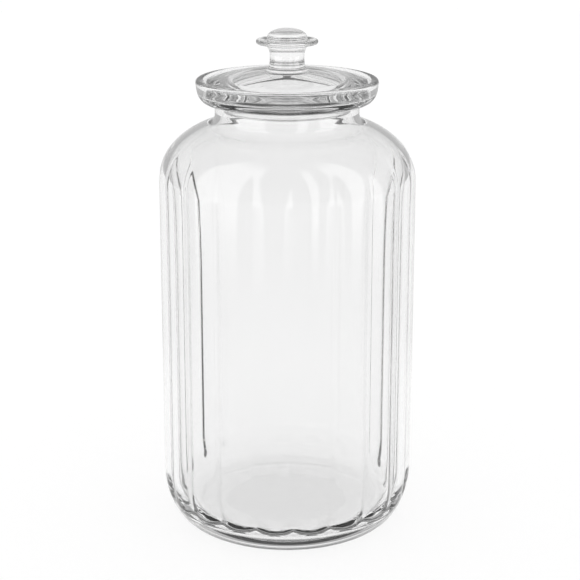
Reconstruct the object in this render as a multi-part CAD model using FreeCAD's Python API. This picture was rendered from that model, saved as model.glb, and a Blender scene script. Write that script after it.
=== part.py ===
"""Fluted glass storage jar with a drop-in glass lid.

Two pieces of pressed and blown glass, each one solid:
  jar  tall round body with soft vertical flutes, a short neck and a flared collar
  lid  domed disc whose rim rests on the collar's ledge, with a plug skirt that
       drops into the neck and a button knob

Millimetres, +Z up.  The origin is the centre of the ring that the jar stands on.
"""

import FreeCAD
import Part

import math
import os
from collections import namedtuple

# ---------------------------------------------------------------- jar sizes
BODY_DIAMETER = 180.0        # over the crests of the flutes
SIDE_HEIGHT = 207.2          # straight side, between the heel and the shoulder
WALL = 4.2                   # glass at a valley is thinner by the flute's depth

HEEL_HEIGHT = 43.8           # the heel's rise from the table to the straight side
HEEL_REACH = 24.0            # how far the heel draws in to the standing ring
HEEL_SQUARENESS = 2.16       # 2 is an ellipse, more is squarer

SHOULDER_RISE = 43.0         # height of the shoulder's quarter ellipse
SHOULDER_OVERRUN = 16.2      # how far that ellipse would run on inside the neck's outside

FLUTE_COUNT = 20
FLUTE_DEPTH = 2.0            # valley below crest
FLUTE_PHASE = -96.0          # direction of the first crest, degrees from +X
FLUTE_START = 12.0           # height where the flutes rise out of the heel
FLUTE_END_INSET = 13.0       # from the crests in to where they have died out on the shoulder
FLUTE_FADE = 18.0            # length over which a flute grows to its full depth

FLOOR_THICKNESS = 13.0
CAVITY_HEEL_REACH = 16.8     # the cavity's own heel, from the wall in to the flat floor
CAVITY_HEEL_RISE = 28.0
RING_WIDTH = 7.0             # flat standing ring
PUSH_UP = 3.0                # hollow under the base, inside the ring

NECK_DIAMETER = 100.4
NECK_WALL = 4.6
NECK_FILLET = 5.0            # between shoulder and neck
NECK_RISE = 12.0             # from the shoulder's ellipse up to the collar's underside

COLLAR_STEP = 8.2            # how far the collar's underside stands out from the neck
COLLAR_HEIGHT = 15.6         # from that underside to the lip
COLLAR_FLARE = 4.9           # how far the lip stands out beyond the underside
COLLAR_BULGE = 1.2           # how far the collar's flared side bows out
COLLAR_CORNER = 3.0          # rounding of the collar's lower edge
LIP_WALL = 5.7
LIP_ROUNDING = 2.4
LEDGE_DROP = 9.6             # from the lip down to the ledge that carries the lid

# ---------------------------------------------------------------- lid sizes
SEAT_GAP = 0.3               # under the lid's rim
RIM_GAP = 1.8                # between the lid's edge and the collar, all round
RIM_THICKNESS = 8.6
RIM_ROUNDING = 1.6
PLATE_THICKNESS = 5.2        # the lid inside its skirt
CROWN = 6.0                  # rise of the lid's top from its edge to the knob
SKIRT_GAP = 1.5              # between the skirt and the neck's bore
SKIRT_WALL = 4.0
SKIRT_DEPTH = 12.0           # below the ledge

KNOB_FOOT_RADIUS = 14.8
KNOB_FOOT_HEIGHT = 2.4       # each height on the knob is from the lid's crown
KNOB_WAIST_RADIUS = 11.9
KNOB_WAIST_HEIGHT = 10.5
KNOB_FLANGE_RADIUS = 21.4
KNOB_FLANGE_HEIGHT = 22.0    # to the flange's top
KNOB_FLANGE_THICKNESS = 3.2
KNOB_GROOVE_WIDTH = 1.8      # ring groove round the button's foot
KNOB_GROOVE_DEPTH = 1.0
KNOB_BUTTON_RADIUS = 13.8
KNOB_BUTTON_SIDE = 1.4       # upright edge under the button's dome
KNOB_HEIGHT = 29.5           # to the top of the dome

# ---------------------------------------------------------------- worked out
BODY_RADIUS = BODY_DIAMETER / 2
BODY_TOP = HEEL_HEIGHT + SIDE_HEIGHT
REST_RADIUS = BODY_RADIUS - HEEL_REACH
NECK_RADIUS = NECK_DIAMETER / 2
BORE_RADIUS = NECK_RADIUS - NECK_WALL
COLLAR_FOOT = BODY_TOP + SHOULDER_RISE + NECK_RISE
COLLAR_FOOT_RADIUS = NECK_RADIUS + COLLAR_STEP
LIP_HEIGHT = COLLAR_FOOT + COLLAR_HEIGHT
LIP_RADIUS = COLLAR_FOOT_RADIUS + COLLAR_FLARE
LEDGE = LIP_HEIGHT - LEDGE_DROP
RECESS_RADIUS = LIP_RADIUS - LIP_WALL
FLUTE_PITCH = 360.0 / FLUTE_COUNT
AXIS = FreeCAD.Vector(0, 0, 1)
CENTRE = FreeCAD.Vector()

Level = namedtuple("Level", "radius height")


def point(radius, height, angle=0.0):
    """Cylindrical place as a vector, the angle in degrees from +X."""
    turn = math.radians(angle)
    return FreeCAD.Vector(radius * math.cos(turn), radius * math.sin(turn), height)


def line(start, end):
    return Part.LineSegment(start, end).toShape()


def arc(start, middle, end):
    return Part.Arc(start, middle, end).toShape()


def bend(start, corner, end):
    """Curve that leaves the start towards the corner and reaches the end from it."""
    curve = Part.BezierCurve()
    curve.setPoles([start, corner, end])
    return curve.toShape()


def cap(edge, peak):
    """Arc of a sphere centred on the Z axis, from its edge to its peak on the axis."""
    rise = peak.z - edge.z
    radius = (edge.x ** 2 + rise ** 2) / (2 * rise)
    half = math.asin(edge.x / radius) / 2
    middle = point(radius * math.sin(half), peak.z - radius * (1 - math.cos(half)))
    return arc(edge, middle, peak)


def rounded(before, corner, after, radius):
    """Arc of a given radius that rounds the corner between two other points."""
    back = (before - corner).normalize()
    onward = (after - corner).normalize()
    half = back.getAngle(onward) / 2
    inward = (back + onward).normalize()
    reach = radius / math.tan(half)
    middle = corner + inward * (radius / math.sin(half) - radius)
    return arc(corner + back * reach, middle, corner + onward * reach)


def smooth(levels):
    """One smooth edge through a run of levels of a profile."""
    curve = Part.BSplineCurve()
    curve.interpolate([point(*level) for level in levels])
    return curve.toShape()


def start_of(edge):
    return edge.valueAt(edge.FirstParameter)


def end_of(edge):
    return edge.valueAt(edge.LastParameter)


def spin(edges):
    """Solid turned round the Z axis from edges that run round a closed profile.

    Where one edge doesn't reach the next, a straight line joins them.
    """
    joined = []
    for edge, following in zip(edges, edges[1:] + edges[:1]):
        joined.append(edge)
        if end_of(edge).distanceToPoint(start_of(following)) > 1e-6:
            joined.append(line(end_of(edge), start_of(following)))
    return Part.Face(Part.Wire(joined)).revolve(CENTRE, AXIS, 360)


# ---------------------------------------------------------------- jar profile
def quarter_levels(centre, reach, rise, squareness, first, last, steps=8):
    """Levels on a squared quarter ellipse, from its widest at 0 to its end at 90."""
    power = 2 / squareness
    levels = []
    for step in range(steps + 1):
        turn = math.radians(first + (last - first) * step / steps)
        across = reach * math.cos(turn) ** power
        up = rise * math.sin(turn) ** power
        levels.append(Level(centre.radius + across, centre.height + up))
    return levels


def heel_levels(lowest, highest):
    """Outer heel between two heights, upwards."""
    turns = []
    for height in (lowest, highest):
        drop = 1 - height / HEEL_HEIGHT
        turns.append(math.degrees(math.asin(drop ** (HEEL_SQUARENESS / 2))))
    centre = Level(REST_RADIUS, HEEL_HEIGHT)
    return quarter_levels(centre, HEEL_REACH, -HEEL_HEIGHT, HEEL_SQUARENESS, *turns)


def shoulder_levels(widest, narrowest, inset=0.0):
    """Shoulder between two radii, upwards, on the outside or inset into the glass."""
    centre = Level(NECK_RADIUS - SHOULDER_OVERRUN, BODY_TOP)
    reach = BODY_RADIUS - inset - centre.radius
    turns = []
    for radius in (widest, narrowest):
        turns.append(math.degrees(math.acos((radius - centre.radius) / reach)))
    return quarter_levels(centre, reach, SHOULDER_RISE - inset, 2, *turns)


def neck_bend(shoulder, radius):
    """Curve that leads a shoulder's last levels upright into a neck."""
    before, joint = shoulder[-2:]
    slope = (joint.height - before.height) / (before.radius - joint.radius)
    run = joint.radius - radius
    corner = joint.height + slope * run
    return bend(point(*joint), point(radius, corner), point(radius, corner + run))


# ---------------------------------------------------------------- flutes
def flute_depth(level, start, end):
    """Depth at a level: full on the side, dying out smoothly towards both ends."""
    nearest = min(math.dist(level, start), math.dist(level, end))
    share = min(nearest / FLUTE_FADE, 1.0)
    return FLUTE_DEPTH * share * share * (3 - 2 * share)


def flute_arc(level, depth, turn=0.0):
    """Section of one flute: an arc from valley over crest to valley."""
    valley = level.radius - depth
    left = point(valley, level.height, turn - FLUTE_PITCH / 2)
    crest = point(level.radius, level.height, turn)
    right = point(valley, level.height, turn + FLUTE_PITCH / 2)
    return arc(left, crest, right)


def flute_skin(heel, shoulder):
    """Faces of one flute, lofted up the heel, the side and the shoulder."""
    faces = []
    for run in (heel, [heel[-1], shoulder[0]], shoulder):
        sections = []
        for level in run:
            depth = flute_depth(level, heel[0], shoulder[-1])
            sections.append(Part.Wire(flute_arc(level, depth)))
        straight = len(run) == 2
        faces.extend(Part.makeLoft(sections, False, straight).Faces)
    return faces


def fluted_drum():
    """Solid between two plain circles, its skin one flute patterned round the axis."""
    heel = heel_levels(FLUTE_START, HEEL_HEIGHT)
    shoulder = shoulder_levels(BODY_RADIUS, BODY_RADIUS - FLUTE_END_INSET)
    turns = [FLUTE_PHASE + number * FLUTE_PITCH for number in range(FLUTE_COUNT)]
    faces = []
    for skin in flute_skin(heel, shoulder):
        faces.extend(skin.rotated(CENTRE, AXIS, turn) for turn in turns)
    for level in (heel[0], shoulder[-1]):
        circle = Part.Wire([flute_arc(level, 0.0, turn) for turn in turns])
        faces.append(Part.Face(circle))
    shell = Part.makeShell(faces)
    shell.sewShape()
    return Part.makeSolid(shell)


# ---------------------------------------------------------------- jar
def foot():
    """Plain lower heel, from the table up to where the flutes start."""
    skin = heel_levels(0.0, FLUTE_START)
    return spin([smooth(skin), line(point(0, FLUTE_START), point(0, 0))])


def top():
    """Plain upper shoulder, neck and flared collar, still solid inside."""
    shoulder = shoulder_levels(BODY_RADIUS - FLUTE_END_INSET, NECK_RADIUS + NECK_FILLET)
    corner = point(COLLAR_FOOT_RADIUS, COLLAR_FOOT)
    lip = point(LIP_RADIUS, LIP_HEIGHT - LIP_ROUNDING)
    brow = (corner + lip) / 2 + FreeCAD.Vector(COLLAR_BULGE, 0, -COLLAR_BULGE)
    underside = rounded(point(NECK_RADIUS, COLLAR_FOOT), corner, brow, COLLAR_CORNER)
    edge = point(LIP_RADIUS, LIP_HEIGHT)
    return spin([
        smooth(shoulder),
        neck_bend(shoulder, NECK_RADIUS),
        line(point(NECK_RADIUS, COLLAR_FOOT), start_of(underside)),
        underside,
        arc(end_of(underside), brow, lip),
        rounded(lip, edge, point(0, LIP_HEIGHT), LIP_ROUNDING),
        line(point(0, LIP_HEIGHT), point(0, shoulder[0].height)),
    ])


def cavity():
    """The jar's inside, with the recess that takes the lid's rim."""
    side = BODY_RADIUS - WALL
    floor = side - CAVITY_HEEL_REACH
    heel_centre = Level(floor, FLOOR_THICKNESS + CAVITY_HEEL_RISE)
    heel = quarter_levels(heel_centre, CAVITY_HEEL_REACH, -CAVITY_HEEL_RISE, 2, 90, 0)
    shoulder = shoulder_levels(side, BORE_RADIUS + NECK_FILLET + WALL, WALL)
    edge = point(RECESS_RADIUS, LIP_HEIGHT)
    clear = point(RECESS_RADIUS + LIP_ROUNDING, LIP_HEIGHT)
    lip = rounded(point(RECESS_RADIUS, LEDGE), edge, clear, LIP_ROUNDING)
    return spin([
        line(point(0, FLOOR_THICKNESS), point(floor, FLOOR_THICKNESS)),
        smooth(heel),
        smooth(shoulder),
        neck_bend(shoulder, BORE_RADIUS),
        line(point(BORE_RADIUS, LEDGE), point(RECESS_RADIUS, LEDGE)),
        lip,
        line(point(0, LIP_HEIGHT), point(0, FLOOR_THICKNESS)),
    ])


def push_up():
    """Shallow hollow under the base, which leaves a flat standing ring."""
    rim = REST_RADIUS - RING_WIDTH
    return spin([cap(point(rim, 0), point(0, PUSH_UP)), line(point(0, PUSH_UP), point(0, 0))])


def jar():
    blank = foot().fuse(fluted_drum()).fuse(top())
    return blank.cut(cavity()).cut(push_up()).removeSplitter()


# ---------------------------------------------------------------- lid
def knob(crown):
    """Edges of the knob's profile, up from its foot on the lid's crown."""
    flange_top = crown + KNOB_FLANGE_HEIGHT
    flange_foot = flange_top - KNOB_FLANGE_THICKNESS
    nose = KNOB_FLANGE_THICKNESS / 2
    flange = KNOB_FLANGE_RADIUS - nose
    waist = point(KNOB_WAIST_RADIUS, crown + KNOB_WAIST_HEIGHT)
    foot_top = crown + KNOB_FOOT_HEIGHT
    groove = KNOB_BUTTON_RADIUS + KNOB_GROOVE_WIDTH
    button_foot = point(KNOB_BUTTON_RADIUS, flange_top)
    dome = button_foot + AXIS * KNOB_BUTTON_SIDE
    peak = point(0, crown + KNOB_HEIGHT)
    return [
        line(point(KNOB_FOOT_RADIUS, crown), point(KNOB_FOOT_RADIUS, foot_top)),
        bend(point(KNOB_FOOT_RADIUS, foot_top), point(KNOB_WAIST_RADIUS, foot_top), waist),
        bend(waist, point(KNOB_WAIST_RADIUS, flange_foot), point(flange, flange_foot)),
        arc(point(flange, flange_foot), point(KNOB_FLANGE_RADIUS, flange_foot + nose),
            point(flange, flange_top)),
        arc(point(groove, flange_top),
            point(groove - KNOB_GROOVE_WIDTH / 2, flange_top - KNOB_GROOVE_DEPTH), button_foot),
        cap(dome, peak),
    ]


def lid():
    edge = RECESS_RADIUS - RIM_GAP
    seat = LEDGE + SEAT_GAP
    rim_top = seat + RIM_THICKNESS
    crown = rim_top + CROWN
    plate = crown - PLATE_THICKNESS
    outer = BORE_RADIUS - SKIRT_GAP
    inner = outer - SKIRT_WALL
    skirt_end = LEDGE - SKIRT_DEPTH
    tip = SKIRT_WALL / 2
    top_edge = rounded(point(edge, seat), point(edge, rim_top), point(0, rim_top), RIM_ROUNDING)
    under = bend(point(0, plate), point(inner * 0.6, plate), point(inner, seat))
    knob_edges = knob(crown)
    rise = bend(end_of(top_edge), point(edge * 0.6, crown), start_of(knob_edges[0]))
    return spin([
        under,
        line(point(inner, seat), point(inner, skirt_end + tip)),
        arc(point(inner, skirt_end + tip), point(inner + tip, skirt_end),
            point(outer, skirt_end + tip)),
        line(point(outer, seat), point(edge, seat)),
        top_edge,
        rise,
        *knob_edges,
    ])


def main():
    os.makedirs("parts", exist_ok=True)
    for name, shape in (("jar", jar()), ("lid", lid())):
        solid = shape.Solids[0]
        print(name, "solids", len(shape.Solids), "valid", shape.isValid(),
              "volume", round(solid.Volume / 1000, 1), "cm3")
        solid.exportStep(os.path.join("parts", name + ".step"))


main()
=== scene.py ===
"""Looks of the fluted glass storage jar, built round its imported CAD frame.

The jar and its lid are turned as fine meshes of real glass, closed inside and out,
so that light bends through them as it does through the real walls.
"""

import logging
import math
from dataclasses import dataclass

import bmesh
import bpy
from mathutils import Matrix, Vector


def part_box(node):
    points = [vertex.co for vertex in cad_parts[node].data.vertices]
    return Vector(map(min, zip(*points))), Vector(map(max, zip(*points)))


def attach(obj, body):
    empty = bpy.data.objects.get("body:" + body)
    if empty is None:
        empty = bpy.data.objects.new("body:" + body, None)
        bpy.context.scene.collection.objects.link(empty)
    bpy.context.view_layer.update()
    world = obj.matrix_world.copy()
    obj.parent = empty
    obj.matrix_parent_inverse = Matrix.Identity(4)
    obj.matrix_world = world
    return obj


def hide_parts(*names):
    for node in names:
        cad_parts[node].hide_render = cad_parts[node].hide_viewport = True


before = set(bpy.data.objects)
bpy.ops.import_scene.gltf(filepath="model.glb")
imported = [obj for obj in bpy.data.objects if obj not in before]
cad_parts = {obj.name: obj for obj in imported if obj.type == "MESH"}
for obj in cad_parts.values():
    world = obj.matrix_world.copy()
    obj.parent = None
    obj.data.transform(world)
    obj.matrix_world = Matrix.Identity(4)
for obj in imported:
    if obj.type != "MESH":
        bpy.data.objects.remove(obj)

MM = 0.001                           # a millimetre in metres
WELD = 1e-6                          # metres within which two vertices are one
SAME_LEVEL = 1e-4                    # millimetres within which two levels are one
ELLIPSE = 2.0                        # squareness of a plain ellipse
log = logging.getLogger("jar")

Level = tuple[float, float]          # radius and height in millimetres
Socket = bpy.types.NodeSocket


# ------------------------------------------------------------------ profiles
def quarter(centre: Level, reach: float, rise: float, squareness: float,
            first: float, last: float, steps: int) -> list[Level]:
    """Levels on a squared quarter ellipse.

    Args:
        centre: Radius and height of the ellipse's centre.
        reach: Semi-axis outwards.
        rise: Semi-axis upwards, negative for one that hangs down.
        squareness: 2 for an ellipse, more for a squarer curve.
        first: Turn of the first level in degrees, 0 at the widest place.
        last: Turn of the last level in degrees, 90 at the far end.
        steps: Number of steps between them.

    Returns:
        The levels, first to last.
    """
    power = 2 / squareness
    levels = []
    for step in range(steps + 1):
        turn = math.radians(first + (last - first) * step / steps)
        across = reach * max(math.cos(turn), 0.0) ** power
        up = rise * max(math.sin(turn), 0.0) ** power
        levels.append((centre[0] + across, centre[1] + up))
    return levels


def straight(start: Level, end: Level, steps: int) -> list[Level]:
    """Levels evenly spaced on a straight line.

    Args:
        start: The first level.
        end: The last level.
        steps: Number of steps between them.

    Returns:
        The levels, both ends included.
    """
    return [(start[0] + (end[0] - start[0]) * i / steps,
             start[1] + (end[1] - start[1]) * i / steps) for i in range(steps + 1)]


def bend(start: Level, corner: Level, end: Level, steps: int = 8) -> list[Level]:
    """Levels on a curve that leaves the start towards the corner and reaches the end from it.

    Args:
        start: The first level.
        corner: The level that both ends of the curve point at.
        end: The last level.
        steps: Number of steps along the curve.

    Returns:
        The levels, both ends included.
    """
    levels = []
    for step in range(steps + 1):
        t = step / steps
        weights = ((1 - t) ** 2, 2 * t * (1 - t), t ** 2)
        levels.append(tuple(sum(w * p[k] for w, p in zip(weights, (start, corner, end)))
                            for k in (0, 1)))
    return levels


def rounded(before: Level, corner: Level, after: Level, radius: float,
            steps: int = 6) -> list[Level]:
    """Levels that round a corner between two other levels.

    Args:
        before: A level on the way in.
        corner: The sharp corner.
        after: A level on the way out.
        radius: How far from the corner the rounding starts and ends.
        steps: Number of steps along the rounding.

    Returns:
        The levels of the rounding, from the way in to the way out.
    """
    def towards(target: Level) -> Level:
        """The level at the rounding's radius from the corner, on the way to a target."""
        share = radius / math.dist(corner, target)
        return (corner[0] + (target[0] - corner[0]) * share,
                corner[1] + (target[1] - corner[1]) * share)

    return bend(towards(before), corner, towards(after), steps)


def join(*runs: list[Level]) -> list[Level]:
    """Runs of levels as one, without the levels that repeat where they meet.

    Args:
        runs: The runs, in order.

    Returns:
        The levels of all of them.
    """
    levels: list[Level] = []
    for run in runs:
        for level in run:
            if not levels or math.dist(levels[-1], level) > SAME_LEVEL:
                levels.append(level)
    return levels


def turned(name: str, levels: list[Level], segments: int) -> bpy.types.Object:
    """Object turned round the Z axis from a profile that starts and ends on the axis.

    Args:
        name: The object's name.
        levels: The profile in millimetres.
        segments: Number of segments round the axis.

    Returns:
        The object, closed and smooth, with its normals outwards.
    """
    mesh = bpy.data.meshes.new(name)
    bm = bmesh.new()
    verts = [bm.verts.new((r * MM, 0.0, z * MM)) for r, z in levels]
    edges = [bm.edges.new(pair) for pair in zip(verts, verts[1:])]
    bmesh.ops.spin(bm, geom=verts + edges, cent=(0, 0, 0), axis=(0, 0, 1),
                   angle=math.tau, steps=segments, use_merge=True, use_duplicate=False)
    bmesh.ops.remove_doubles(bm, verts=bm.verts, dist=WELD)
    bmesh.ops.recalc_face_normals(bm, faces=bm.faces)
    for face in bm.faces:
        face.smooth = True
    bm.to_mesh(mesh)
    bm.free()
    obj = bpy.data.objects.new(name, mesh)
    bpy.context.collection.objects.link(obj)
    return obj


# ------------------------------------------------------------------ finishes
def linear(code: str) -> tuple[float, float, float, float]:
    """Linear colour of an sRGB hex value.

    Args:
        code: The colour as #RRGGBB.

    Returns:
        Red, green, blue and a full alpha.
    """
    values = [int(code[i:i + 2], 16) / 255 for i in (1, 3, 5)]
    red, green, blue = (v / 12.92 if v <= 0.04045 else ((v + 0.055) / 1.055) ** 2.4
                        for v in values)
    return (red, green, blue, 1.0)


class Nodes:
    """A node tree being built, one node at a time."""

    def __init__(self, tree: bpy.types.NodeTree) -> None:
        """Starts from an emptied tree.

        Args:
            tree: The tree of a material or a world.
        """
        self.tree = tree
        tree.nodes.clear()

    def add(self, kind: str, links: dict[int | str, object] | None = None,
            **settings: object) -> bpy.types.Node:
        """Adds a node.

        Args:
            kind: The node's type name.
            links: Input name or index to an output socket or a constant.
            settings: Properties of the node itself.

        Returns:
            The node.
        """
        node = self.tree.nodes.new(kind)
        for name, value in settings.items():
            setattr(node, name, value)
        for socket, source in (links or {}).items():
            if isinstance(source, Socket):
                self.tree.links.new(source, node.inputs[socket])
            else:
                node.inputs[socket].default_value = source
        return node


@dataclass(frozen=True)
class ClearGlass:
    """Clear soda-lime glass, shaped in a mould and fire-polished.

    To the eye it is colourless and mirror-smooth. It is seen by what it bends: dark lines
    where a wall turns away, and highlights that a very slow ripple keeps from being perfect.

    Args:
        name: The material's name.
        tint: Colour of the light that passes, nearly all of it.
        shadow_tint: The same for the light that falls through it on the table.
        ior: Bending of light, a common value for this glass.
        ripple_width: Width of one wave of the ripple, in millimetres.
        ripple_height: Height that the ripple's strength is a share of, in millimetres.
        ripple_strength: Share of that height that a mould and fire polish leave.
    """

    name: str
    tint: str = "#F9F9F9"
    shadow_tint: str = "#FCFCFC"
    ior: float = 1.5
    ripple_width: float = 22.2
    ripple_height: float = 1.0
    ripple_strength: float = 0.02

    def material(self) -> bpy.types.Material:
        """Makes the material.

        Returns:
            Glass that bends what is seen, and lets the light of the room through unbent,
            so that the table under it isn't left in the dark.
        """
        material = bpy.data.materials.new(self.name)
        material.use_nodes = True
        nodes = Nodes(material.node_tree)
        place = nodes.add("ShaderNodeTexCoord")
        ripple = nodes.add("ShaderNodeTexNoise", {
            "Vector": place.outputs["Object"], "Scale": 1 / (self.ripple_width * MM),
            "Detail": 1.0})
        bump = nodes.add("ShaderNodeBump", {
            "Height": ripple.outputs["Fac"], "Strength": self.ripple_strength,
            "Distance": self.ripple_height * MM})
        glass = nodes.add("ShaderNodeBsdfPrincipled", {
            "Base Color": linear(self.tint), "Roughness": 0.0, "IOR": self.ior,
            "Transmission Weight": 1.0, "Normal": bump.outputs["Normal"]})
        path = nodes.add("ShaderNodeLightPath")
        lit = nodes.add("ShaderNodeMath", {
            0: path.outputs["Is Shadow Ray"], 1: path.outputs["Is Diffuse Ray"]},
            operation="MAXIMUM")
        clear = nodes.add("ShaderNodeBsdfTransparent", {"Color": linear(self.shadow_tint)})
        mix = nodes.add("ShaderNodeMixShader", {
            0: lit.outputs[0], 1: glass.outputs["BSDF"], 2: clear.outputs[0]})
        nodes.add("ShaderNodeOutputMaterial", {"Surface": mix.outputs[0]})
        return material


@dataclass(frozen=True)
class MattPaint:
    """Matt white paint on a table top: even and pale, it shows only the jar's soft shadow.

    Args:
        name: The material's name.
        colour: The paint's colour.
    """

    name: str
    colour: str = "#FEFEFE"

    def material(self) -> bpy.types.Material:
        """Makes the material.

        Returns:
            A plain diffuse white.
        """
        material = bpy.data.materials.new(self.name)
        material.use_nodes = True
        nodes = Nodes(material.node_tree)
        paint = nodes.add("ShaderNodeBsdfDiffuse", {"Color": linear(self.colour)})
        nodes.add("ShaderNodeOutputMaterial", {"Surface": paint.outputs[0]})
        return material


def settle(piece: bpy.types.Object, finish: ClearGlass, node: str) -> None:
    """Gives a piece its finish and its place in the frame.

    Args:
        piece: The piece.
        finish: What it is made of.
        node: The CAD node that it stands for.
    """
    piece.data.materials.append(finish.material())
    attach(piece, "root")
    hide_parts(node)
    log.info("%s: %d faces", piece.name, len(piece.data.polygons))


# ------------------------------------------------------------------ the jar
@dataclass(frozen=True)
class Flutes:
    """Soft upright flutes pressed into the jar's skin.

    Args:
        count: How many go round the jar.
        depth: Valley below crest, outside.
        echo: Share of that depth that the blown inside follows.
        phase: Direction of a crest in degrees from the front, to the right.
        crease: Share of a flute's half width over which its valley is rounded.
        heel_fade: Length of skin over which a flute grows to full depth at the heel.
        shoulder_fade: The same at the shoulder, where it dies out more slowly.
    """

    count: int = 20
    depth: float = 2.2
    echo: float = 0.9
    phase: float = -6.0
    crease: float = 0.08
    heel_fade: float = 10.0
    shoulder_fade: float = 45.0

    def valley(self, turn: float) -> float:
        """Share of the full depth at a direction.

        Args:
            turn: The direction in radians from the front, to the right.

        Returns:
            0 on a crest, 1 in the middle of a valley.
        """
        lobe = self.count * (turn - math.radians(self.phase)) / math.tau
        away = 2 * abs(lobe - round(lobe))
        knee = 1 - self.crease
        if away < knee:
            return away ** 2 / knee
        return 1 - (1 - away) ** 2 / self.crease

    def strength(self, low: float, high: float) -> float:
        """Share of the full depth between a flute's ends.

        Args:
            low: Distance from its end at the heel.
            high: Distance from its end at the shoulder.

        Returns:
            0 at either end, 1 where both fades are over.
        """
        shares = (min(low / self.heel_fade, 1.0), min(high / self.shoulder_fade, 1.0))
        return math.prod(share * share * (3 - 2 * share) for share in shares)


@dataclass
class Jar:
    """The jar's glass, with every size in millimetres.

    Args:
        height: Height of the lip over the table.
        flutes: The flutes round its body.
    """

    height: float
    flutes: Flutes
    # body
    body_radius: float = 90.0        # over the crests
    body_top: float = 251.0          # height where the shoulder starts
    wall: float = 4.2                # at a crest
    heel_height: float = 43.8        # height where the side starts
    heel_reach: float = 24.0         # how far the heel's curve comes in
    heel_squareness: float = 2.16    # a little squarer than an ellipse
    shoulder_rise: float = 43.0      # upright half of the shoulder's ellipse
    shoulder_reach: float = 56.0     # its level half
    flute_start: float = 17.0        # height of their lower ends
    flute_end_radius: float = 77.0   # radius at their upper ends
    # floor and base
    floor_thickness: float = 13.0    # in the middle
    floor_radius: float = 69.0       # where the cavity starts to rise
    cavity_heel_rise: float = 28.0   # from there to its upright side
    ring_width: float = 20.0         # the flat ring that it stands on
    push_up: float = 0.4             # height of the base's hollow
    push_up_flat: float = 0.6        # share of the hollow that is flat
    # neck
    neck_radius: float = 50.2        # outside
    neck_wall: float = 4.6
    neck_fillet: float = 5.0         # how far out its bend into the shoulder starts
    # collar
    collar_foot: float = 306.0       # height of its underside
    collar_foot_radius: float = 58.4 # at the underside's edge
    collar_fillet: float = 1.2       # between underside and neck
    collar_corner: float = 3.0       # rounding of the edge
    collar_bulge: float = 1.2        # how far the flare curves out
    collar_swell: float = 0.6        # how much further the flare's curve is drawn out
    lip_radius: float = 63.3         # outside
    lip_wall: float = 5.7
    lip_rounding: float = 2.4
    ledge_drop: float = 9.6          # from the lip down to the ledge
    ledge_rounding: float = 1.0
    segments: int = 360              # round the axis, 18 for each flute

    @property
    def bore(self) -> float:
        """Radius of the neck's inside."""
        return self.neck_radius - self.neck_wall

    @property
    def ledge(self) -> float:
        """Height of the ledge that carries the lid."""
        return self.height - self.ledge_drop

    @property
    def recess(self) -> float:
        """Radius of the collar's inside above the ledge."""
        return self.lip_radius - self.lip_wall

    def skin(self, height: float) -> float:
        """Radius of the body's outside before its flutes are pressed.

        Args:
            height: A height between the table and the neck.

        Returns:
            The radius there.
        """
        if height < self.heel_height:
            drop = 1 - height / self.heel_height
            across = (1 - drop ** self.heel_squareness) ** (1 / self.heel_squareness)
            return self.body_radius - self.heel_reach * (1 - across)
        if height > self.body_top:
            share = min((height - self.body_top) / self.shoulder_rise, 1.0)
            return self.body_radius - self.shoulder_reach * (1 - math.sqrt(1 - share ** 2))
        return self.body_radius

    def shoulder(self, widest: float, narrowest: float, inset: float = 0.0) -> list[Level]:
        """Levels up the shoulder between two radii.

        Args:
            widest: Radius at the lowest level.
            narrowest: Radius at the highest.
            inset: How far into the glass from the outside.

        Returns:
            The levels, lowest first.
        """
        centre = (self.body_radius - self.shoulder_reach, self.body_top)
        reach = self.shoulder_reach - inset
        first = math.degrees(math.acos(min((widest - centre[0]) / reach, 1.0)))
        last = math.degrees(math.acos((narrowest - centre[0]) / reach))
        return quarter(centre, reach, self.shoulder_rise - inset, ELLIPSE, first, last, steps=28)

    def neck_bend(self, shoulder: list[Level], radius: float) -> list[Level]:
        """Levels that lead a shoulder upright into a neck.

        Args:
            shoulder: The shoulder's levels, lowest first.
            radius: The neck's radius.

        Returns:
            The levels, from the shoulder's last one to the upright neck.
        """
        before, joint = shoulder[-2:]
        slope = (joint[1] - before[1]) / (before[0] - joint[0])
        run = joint[0] - radius
        corner = (radius, joint[1] + slope * run)
        return bend(joint, corner, (radius, corner[1] + run))

    def outside(self) -> list[Level]:
        """Levels from the base's middle up the outside to the lip.

        Returns:
            The levels, in that order.
        """
        rest = self.body_radius - self.heel_reach
        ring = rest - self.ring_width
        shoulder = self.shoulder(self.body_radius, self.neck_radius + self.neck_fillet)
        neck_top = (self.neck_radius, self.collar_foot)
        foot = (self.collar_foot_radius, self.collar_foot)
        lip = (self.lip_radius, self.height - self.lip_rounding)
        brow = ((foot[0] + lip[0]) / 2 + self.collar_bulge,
                (foot[1] + lip[1]) / 2 - self.collar_bulge)
        corner = rounded(neck_top, foot, brow, self.collar_corner)
        return join(
            bend((0.0, self.push_up), (ring * self.push_up_flat, self.push_up), (ring, 0.0),
                 steps=14),
            quarter((rest, self.heel_height), self.heel_reach, -self.heel_height,
                    self.heel_squareness, first=90, last=0, steps=44),
            straight((self.body_radius, self.heel_height), (self.body_radius, self.body_top),
                     steps=10),
            shoulder,
            self.neck_bend(shoulder, self.neck_radius),
            rounded((self.neck_radius, self.body_top), neck_top, foot, self.collar_fillet,
                    steps=4),
            corner,
            bend(corner[-1], (brow[0] + self.collar_swell, brow[1] - self.collar_swell), lip,
                 steps=10),
            rounded(lip, (self.lip_radius, self.height), (0.0, self.height),
                    self.lip_rounding),
        )

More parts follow.
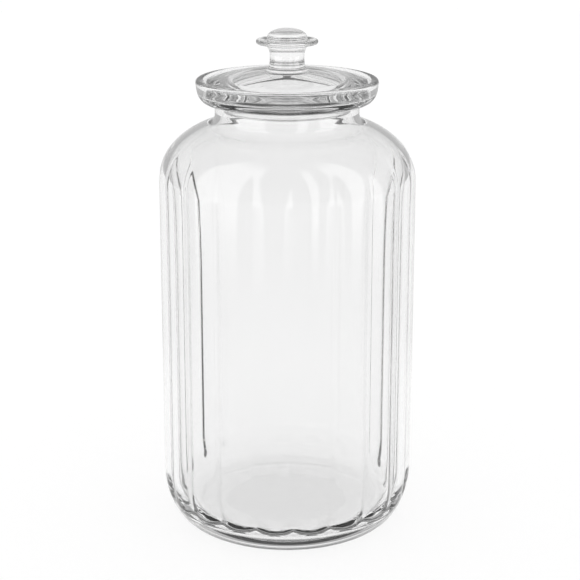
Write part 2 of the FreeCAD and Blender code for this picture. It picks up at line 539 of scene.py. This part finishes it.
    def inside(self) -> list[Level]:
        """Levels from the lip down the inside to the middle of the floor.

        Returns:
            The levels, in that order.
        """
        side = self.body_radius - self.wall
        floor = self.floor_thickness
        heel = quarter((self.floor_radius, floor + self.cavity_heel_rise),
                       side - self.floor_radius, -self.cavity_heel_rise, ELLIPSE,
                       first=90, last=0, steps=40)
        shoulder = self.shoulder(side, self.bore + self.neck_fillet + self.wall, self.wall)
        ledge_edge, ledge_back = (self.bore, self.ledge), (self.recess, self.ledge)
        mouth = (self.recess, self.height)
        upwards = join(
            straight((0.0, floor), (self.floor_radius, floor), steps=2),
            heel,
            straight((side, heel[-1][1]), (side, self.body_top), steps=10),
            shoulder,
            self.neck_bend(shoulder, self.bore),
            rounded((self.bore, self.body_top), ledge_edge, ledge_back, self.ledge_rounding,
                    steps=4),
            rounded(ledge_edge, ledge_back, mouth, self.ledge_rounding, steps=4),
            rounded(ledge_back, mouth, (self.lip_radius, self.height), self.lip_rounding),
        )
        return upwards[::-1]

    def heel_end(self) -> Level:
        """Level on the heel where the flutes have died out."""
        return (self.skin(self.flute_start), self.flute_start)

    def shoulder_end(self) -> Level:
        """Level on the shoulder where the flutes have died out.

        Returns:
            The level, at the radius where they end.
        """
        share = 1 - (self.body_radius - self.flute_end_radius) / self.shoulder_reach
        rise = self.shoulder_rise * math.sqrt(1 - share ** 2)
        return (self.flute_end_radius, self.body_top + rise)

    def is_inside(self, level: Level) -> bool:
        """Whether a level of the fluted zone is the cavity's, deeper than a third of the wall."""
        return level[0] < self.skin(level[1]) - self.wall / 3

    def press_flutes(self, obj: bpy.types.Object) -> None:
        """Presses the flutes in, full on the side and dying out at both ends.

        Args:
            obj: The turned glass, whose vertices move towards the axis.
        """
        heel_end, shoulder_end = self.heel_end(), self.shoulder_end()
        for vertex in obj.data.vertices:
            x, y, z = (value / MM for value in vertex.co)
            level = (math.hypot(x, y), z)
            above = z > self.body_top and level[0] < self.flute_end_radius
            if z < self.flute_start or above:
                continue
            depth = self.flutes.depth * self.flutes.valley(math.atan2(x, -y))
            depth *= self.flutes.strength(math.dist(level, heel_end),
                                          math.dist(level, shoulder_end))
            if self.is_inside(level):
                depth *= self.flutes.echo
            vertex.co.x *= 1 - depth / level[0]
            vertex.co.y *= 1 - depth / level[0]

    def build(self) -> bpy.types.Object:
        """Builds the jar.

        Returns:
            One closed piece of glass.
        """
        obj = turned("jar_glass_body", join(self.outside(), self.inside()), self.segments)
        self.press_flutes(obj)
        return obj

    def dress(self, piece: bpy.types.Object) -> None:
        """Gives the jar its glass, pressed at the collar and blown below."""
        settle(piece, ClearGlass("press-blown soda-lime glass"), "jar")


# ------------------------------------------------------------------ the lid
@dataclass
class Lid:
    """The lid's glass: rim, domed plate, plug skirt and button knob, in millimetres.

    Args:
        jar: The jar whose recess and bore it fits.
    """

    jar: Jar
    # rim, plate and skirt
    seat_gap: float = 0.3            # between rim and ledge
    seat_rounding: float = 0.8
    rim_gap: float = 1.8             # between rim and collar
    rim_thickness: float = 8.6
    rim_rounding: float = 1.6
    plate_thickness: float = 5.2
    plate_flat: float = 0.6          # share of the plate that is nearly flat
    crown_rise: float = 6.0          # from the rim's top to the plate's
    skirt_gap: float = 1.5           # between skirt and neck
    skirt_wall: float = 4.0
    skirt_depth: float = 12.0        # below the ledge
    skirt_rounding: float = 1.8
    # knob, with its heights over the top of the plate
    foot_radius: float = 14.8
    foot_height: float = 2.4
    foot_flare: float = 2.0          # how far the foot runs out into the plate
    foot_sink: float = 0.3           # how far it starts below the top of the plate
    foot_fillet: float = 1.2         # height of the bend between plate and foot
    foot_rounding: float = 1.0
    waist_radius: float = 11.9
    waist_height: float = 10.5       # height of the narrowest place
    flange_radius: float = 21.4
    flange_height: float = 22.0      # height of its upper side
    flange_thickness: float = 3.2
    groove_width: float = 1.8        # round the button
    groove_depth: float = 1.0
    button_radius: float = 13.8
    button_side: float = 1.4         # upright part below the dome
    knob_height: float = 29.5        # height of the peak
    segments: int = 192              # round the axis

    def knob(self, crown: float) -> list[Level]:
        """Levels up the knob.

        Args:
            crown: Height of the plate's top, which the knob's heights count from.

        Returns:
            The levels from the knob's foot to its peak on the axis.
        """
        top = crown + self.flange_height
        under = top - self.flange_thickness
        foot = crown + self.foot_height
        waist = (self.waist_radius, crown + self.waist_height)
        nose = self.flange_thickness / 2
        nose_centre = (self.flange_radius - nose, under + nose)
        groove = self.button_radius + self.groove_width
        button = top + self.button_side
        return join(
            bend((self.foot_radius + self.foot_flare, crown - self.foot_sink),
                 (self.foot_radius, crown), (self.foot_radius, crown + self.foot_fillet),
                 steps=4),
            rounded((self.foot_radius, crown), (self.foot_radius, foot),
                    (self.waist_radius, foot), self.foot_rounding, steps=4),
            bend((self.foot_radius - self.foot_rounding, foot), (self.waist_radius, foot),
                 waist, steps=12),
            bend(waist, (self.waist_radius, under), (nose_centre[0], under), steps=14),
            quarter(nose_centre, nose, -nose, ELLIPSE, first=90, last=0, steps=6),
            quarter(nose_centre, nose, nose, ELLIPSE, first=0, last=90, steps=6),
            bend((groove, top), (groove - self.groove_width / 2, top - 2 * self.groove_depth),
                 (self.button_radius, top)),
            quarter((0.0, button), self.button_radius, crown + self.knob_height - button,
                    ELLIPSE, first=0, last=90, steps=20),
        )

    def levels(self) -> list[Level]:
        """The whole profile.

        Returns:
            The levels from the plate's underside out, round the rim and up to the peak.
        """
        jar = self.jar
        edge = jar.recess - self.rim_gap
        seat = jar.ledge + self.seat_gap
        rim_top = seat + self.rim_thickness
        crown = rim_top + self.crown_rise
        plate = crown - self.plate_thickness
        outer = jar.bore - self.skirt_gap
        inner = outer - self.skirt_wall
        tip = jar.ledge - self.skirt_depth
        rim = rounded((edge, seat), (edge, rim_top), (0.0, rim_top), self.rim_rounding)
        knob = self.knob(crown)
        return join(
            bend((0.0, plate), (inner * self.plate_flat, plate), (inner, seat), steps=16),
            rounded((inner, seat), (inner, tip), (outer, tip), self.skirt_rounding),
            rounded((inner, tip), (outer, tip), (outer, seat), self.skirt_rounding),
            rounded((outer, tip), (outer, seat), (edge, seat), self.seat_rounding, steps=4),
            rounded((outer, seat), (edge, seat), (edge, rim_top), self.seat_rounding, steps=4),
            rim,
            bend(rim[-1], (edge * self.plate_flat, crown), knob[0], steps=20),
            knob,
        )

    def build(self) -> bpy.types.Object:
        """The lid as one closed piece of glass."""
        return turned("lid_glass_body", self.levels(), self.segments)

    def dress(self, piece: bpy.types.Object) -> None:
        """Gives the lid its glass, pressed in one go with the knob."""
        settle(piece, ClearGlass("pressed soda-lime glass"), "lid")


# ------------------------------------------------------------------ studio
@dataclass(frozen=True)
class SoftBox:
    """A tall soft light far away, seen only as a reflection.

    Args:
        aim: Compass direction in degrees, 0 behind the camera and 90 to the right.
        width: Half its width in degrees.
        soft: How far its sides fade, in degrees.
        power: Brightness beside the white background's 1.
        low: Sine of its lower edge's height over the horizon.
        high: Sine of its upper edge's height.
    """

    aim: float
    width: float
    soft: float
    power: float = 2.0
    low: float = -0.265
    high: float = 0.85

    def brightness(self, nodes: Nodes, turn: Socket, up: Socket) -> Socket:
        """Adds the light's nodes.

        Args:
            nodes: The world's nodes.
            turn: Compass direction of the ray in radians.
            up: Sine of the ray's height over the horizon.

        Returns:
            The light's brightness along the ray.
        """
        fade = math.radians(self.soft)
        low_fade = fade / 3          # the lower edge is crisper than the rest
        off = nodes.add("ShaderNodeMath", {0: turn, 1: math.radians(self.aim)},
                        operation="SUBTRACT")
        size = nodes.add("ShaderNodeMath", {0: off.outputs[0]}, operation="ABSOLUTE")
        over = nodes.add("ShaderNodeMath", {0: size.outputs[0], 1: math.radians(self.width)},
                         operation="SUBTRACT")
        side = nodes.add("ShaderNodeMapRange", {
            "Value": over.outputs[0], "From Max": fade, "To Min": self.power, "To Max": 0.0},
            interpolation_type="SMOOTHSTEP")
        above = nodes.add("ShaderNodeMapRange", {
            "Value": up, "From Min": self.low - low_fade, "From Max": self.low + low_fade},
            interpolation_type="SMOOTHSTEP")
        below = nodes.add("ShaderNodeMapRange", {
            "Value": up, "From Min": self.high + fade, "From Max": self.high},
            interpolation_type="SMOOTHSTEP")
        ends = nodes.add("ShaderNodeMath", {0: above.outputs[0], 1: below.outputs[0]},
                         operation="MULTIPLY")
        return nodes.add("ShaderNodeMath", {0: side.outputs[0], 1: ends.outputs[0]},
                         operation="MULTIPLY").outputs[0]


@dataclass
class Studio:
    """Pale floor, soft light and the camera.

    A height over the horizon is a sine, and a brightness of 1 is white.

    Args:
        distance: How far in front of the jar's axis the camera stands, in metres.
        camera_height: Its height over the table, in metres.
        pitch: How far it looks down, in degrees.
        lens: Its focal length in millimetres.
        sensor: Width of its sensor in millimetres.
        lens_rise: Upward shift of the lens, as a share of the sensor's width.
        lens_side: Shift of the lens to the right, as such a share.
        reach: How far away the camera still sees, in metres.
        table: Radius of the table top, in metres.
        table_sides: Number of its sides.
        white: Colour of all light.
        ambient: Brightness of the room as it is seen past the glass.
        bright_to: Height up to which the room is white through the glass.
        dark_from: Height from which it is dark through the glass.
        zenith: Brightness above that.
        inner_dimming: Share that is left of it where the glass mirrors on its inside.
        dim: Brightness of the studio in reflections, besides what follows.
        glow: Brightness of the table in reflections.
        glow_from: Height below which the table starts.
        glow_to: Height below which it is at its full brightness.
        backdrop: Brightness of the backdrop behind the jar in reflections.
        backdrop_from: How far to the back, as a sine, it starts.
        backdrop_to: How far to the back it is at its full brightness.
        boxes: The soft lights.
        bounces: How often a ray may pass or meet a surface.
        glossy_bounces: How often it may be mirrored.
    """

    distance: float = 1.1
    camera_height: float = 0.507
    pitch: float = 15.02
    lens: float = 99.87
    sensor: float = 36.0
    lens_rise: float = -0.1
    lens_side: float = 0.005
    reach: float = 50.0
    table: float = 3.0
    table_sides: int = 96
    white: str = "#FFFFFF"
    ambient: float = 1.02
    bright_to: float = 0.3
    dark_from: float = 0.65
    zenith: float = 0.0
    inner_dimming: float = 0.45
    dim: float = 0.1
    glow: float = 1.0
    glow_from: float = -0.26
    glow_to: float = -0.36
    backdrop: float = 0.65
    backdrop_from: float = 0.1
    backdrop_to: float = 0.6
    boxes: tuple[SoftBox, ...] = (
        SoftBox(aim=-63, width=24, soft=8),
        SoftBox(aim=68, width=12, soft=8),
        SoftBox(aim=24, width=5, soft=6),
    )
    bounces: int = 24
    glossy_bounces: int = 12

    def seen_through(self, nodes: Nodes, up: Socket, mirrorings: Socket) -> Socket:
        """Adds what shows through the glass: white all round, and dark overhead.

        Args:
            nodes: The world's nodes.
            up: Sine of the ray's height over the horizon.
            mirrorings: How often the ray was mirrored on its way.

        Returns:
            The brightness along the ray.
        """
        sky = nodes.add("ShaderNodeMapRange", {
            "Value": up, "From Min": self.bright_to, "From Max": self.dark_from,
            "To Min": 1.0, "To Max": self.zenith}, interpolation_type="SMOOTHSTEP")
        folded = nodes.add("ShaderNodeMapRange", {
            "Value": mirrorings, "To Min": 1.0, "To Max": self.inner_dimming})
        return nodes.add("ShaderNodeMath", {0: sky.outputs[0], 1: folded.outputs[0]},
                         operation="MULTIPLY").outputs[0]

    def reflected(self, nodes: Nodes, ray: bpy.types.Node) -> Socket:
        """Adds what the glass reflects: a dim studio with table, backdrop and soft boxes.

        Args:
            nodes: The world's nodes.
            ray: The node that separates the ray's direction into X, Y and Z.

        Returns:
            The brightness along the ray.
        """
        ahead = nodes.add("ShaderNodeMath", {0: ray.outputs["Y"], 1: -1.0},
                          operation="MULTIPLY")
        turn = nodes.add("ShaderNodeMath", {0: ray.outputs["X"], 1: ahead.outputs[0]},
                         operation="ARCTAN2")
        lower = nodes.add("ShaderNodeMapRange", {
            "Value": ray.outputs["Z"], "From Min": self.glow_from, "From Max": self.glow_to,
            "To Min": self.dim, "To Max": self.glow}, interpolation_type="SMOOTHSTEP")
        behind = nodes.add("ShaderNodeMapRange", {
            "Value": ray.outputs["Y"], "From Min": self.backdrop_from,
            "From Max": self.backdrop_to, "To Max": self.backdrop},
            interpolation_type="SMOOTHSTEP")
        light = nodes.add("ShaderNodeMath", {0: lower.outputs[0], 1: behind.outputs[0]},
                          operation="MAXIMUM").outputs[0]
        for box in self.boxes:
            gleam = box.brightness(nodes, turn.outputs[0], ray.outputs["Z"])
            light = nodes.add("ShaderNodeMath", {0: light, 1: gleam},
                              operation="ADD").outputs[0]
        return light

    def world(self) -> None:
        """Lights the room: one brightness past the glass, one through it, one reflected."""
        world = bpy.data.worlds.new("studio")
        bpy.context.scene.world = world
        world.use_nodes = True
        nodes = Nodes(world.node_tree)
        path = nodes.add("ShaderNodeLightPath")
        place = nodes.add("ShaderNodeTexCoord")
        ray = nodes.add("ShaderNodeSeparateXYZ", {0: place.outputs["Generated"]})
        through = self.seen_through(nodes, ray.outputs["Z"], path.outputs["Glossy Depth"])
        past, inner, mirror = (
            nodes.add("ShaderNodeBackground", {"Color": linear(self.white), "Strength": strength})
            for strength in (self.ambient, through, self.reflected(nodes, ray)))
        clear = nodes.add("ShaderNodeMixShader", {
            0: path.outputs["Is Transmission Ray"], 1: past.outputs[0], 2: inner.outputs[0]})
        # A diffuse bounce counts as a reflection, and a bent ray as glossy: only a mirror is both.
        mirrored = nodes.add("ShaderNodeMath", {
            0: path.outputs["Is Reflection Ray"], 1: path.outputs["Is Glossy Ray"]},
            operation="MULTIPLY")
        mix = nodes.add("ShaderNodeMixShader", {
            0: mirrored.outputs[0], 1: clear.outputs[0], 2: mirror.outputs[0]})
        nodes.add("ShaderNodeOutputWorld", {"Surface": mix.outputs[0]})

    def floor(self) -> None:
        """Lays the round table top. In reflections the world stands in for it."""
        mesh = bpy.data.meshes.new("floor")
        bm = bmesh.new()
        bmesh.ops.create_circle(bm, cap_ends=True, segments=self.table_sides,
                                radius=self.table)
        bm.to_mesh(mesh)
        bm.free()
        obj = bpy.data.objects.new("floor", mesh)
        bpy.context.collection.objects.link(obj)
        mesh.materials.append(MattPaint("matt white paint").material())
        obj.visible_glossy = False

    def camera(self) -> None:
        """Sets up the camera in front of the jar, looking slightly down."""
        data = bpy.data.cameras.new("camera")
        data.lens = self.lens
        data.sensor_width = self.sensor
        data.shift_x = self.lens_side
        data.shift_y = self.lens_rise
        data.clip_end = self.reach
        obj = bpy.data.objects.new("camera", data)
        obj.location = (0.0, -self.distance, self.camera_height)
        obj.rotation_euler = (math.radians(90 - self.pitch), 0.0, 0.0)
        bpy.context.collection.objects.link(obj)
        bpy.context.scene.camera = obj

    def build(self) -> None:
        """Sets the whole studio up, with enough bounces for glass behind glass."""
        self.world()
        self.floor()
        self.camera()
        scene = bpy.context.scene
        scene.view_settings.view_transform = "Standard"
        scene.cycles.max_bounces = self.bounces
        scene.cycles.transmission_bounces = self.bounces
        scene.cycles.transparent_max_bounces = self.bounces
        scene.cycles.glossy_bounces = self.glossy_bounces


def main() -> None:
    """Builds and dresses the pieces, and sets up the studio."""
    logging.basicConfig(level=logging.INFO, format="%(message)s")
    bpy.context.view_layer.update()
    jar = Jar(height=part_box("jar")[1][2] / MM, flutes=Flutes())
    lid = Lid(jar)
    jar.dress(jar.build())
    lid.dress(lid.build())
    Studio().build()


if __name__ == "__main__":
    main()
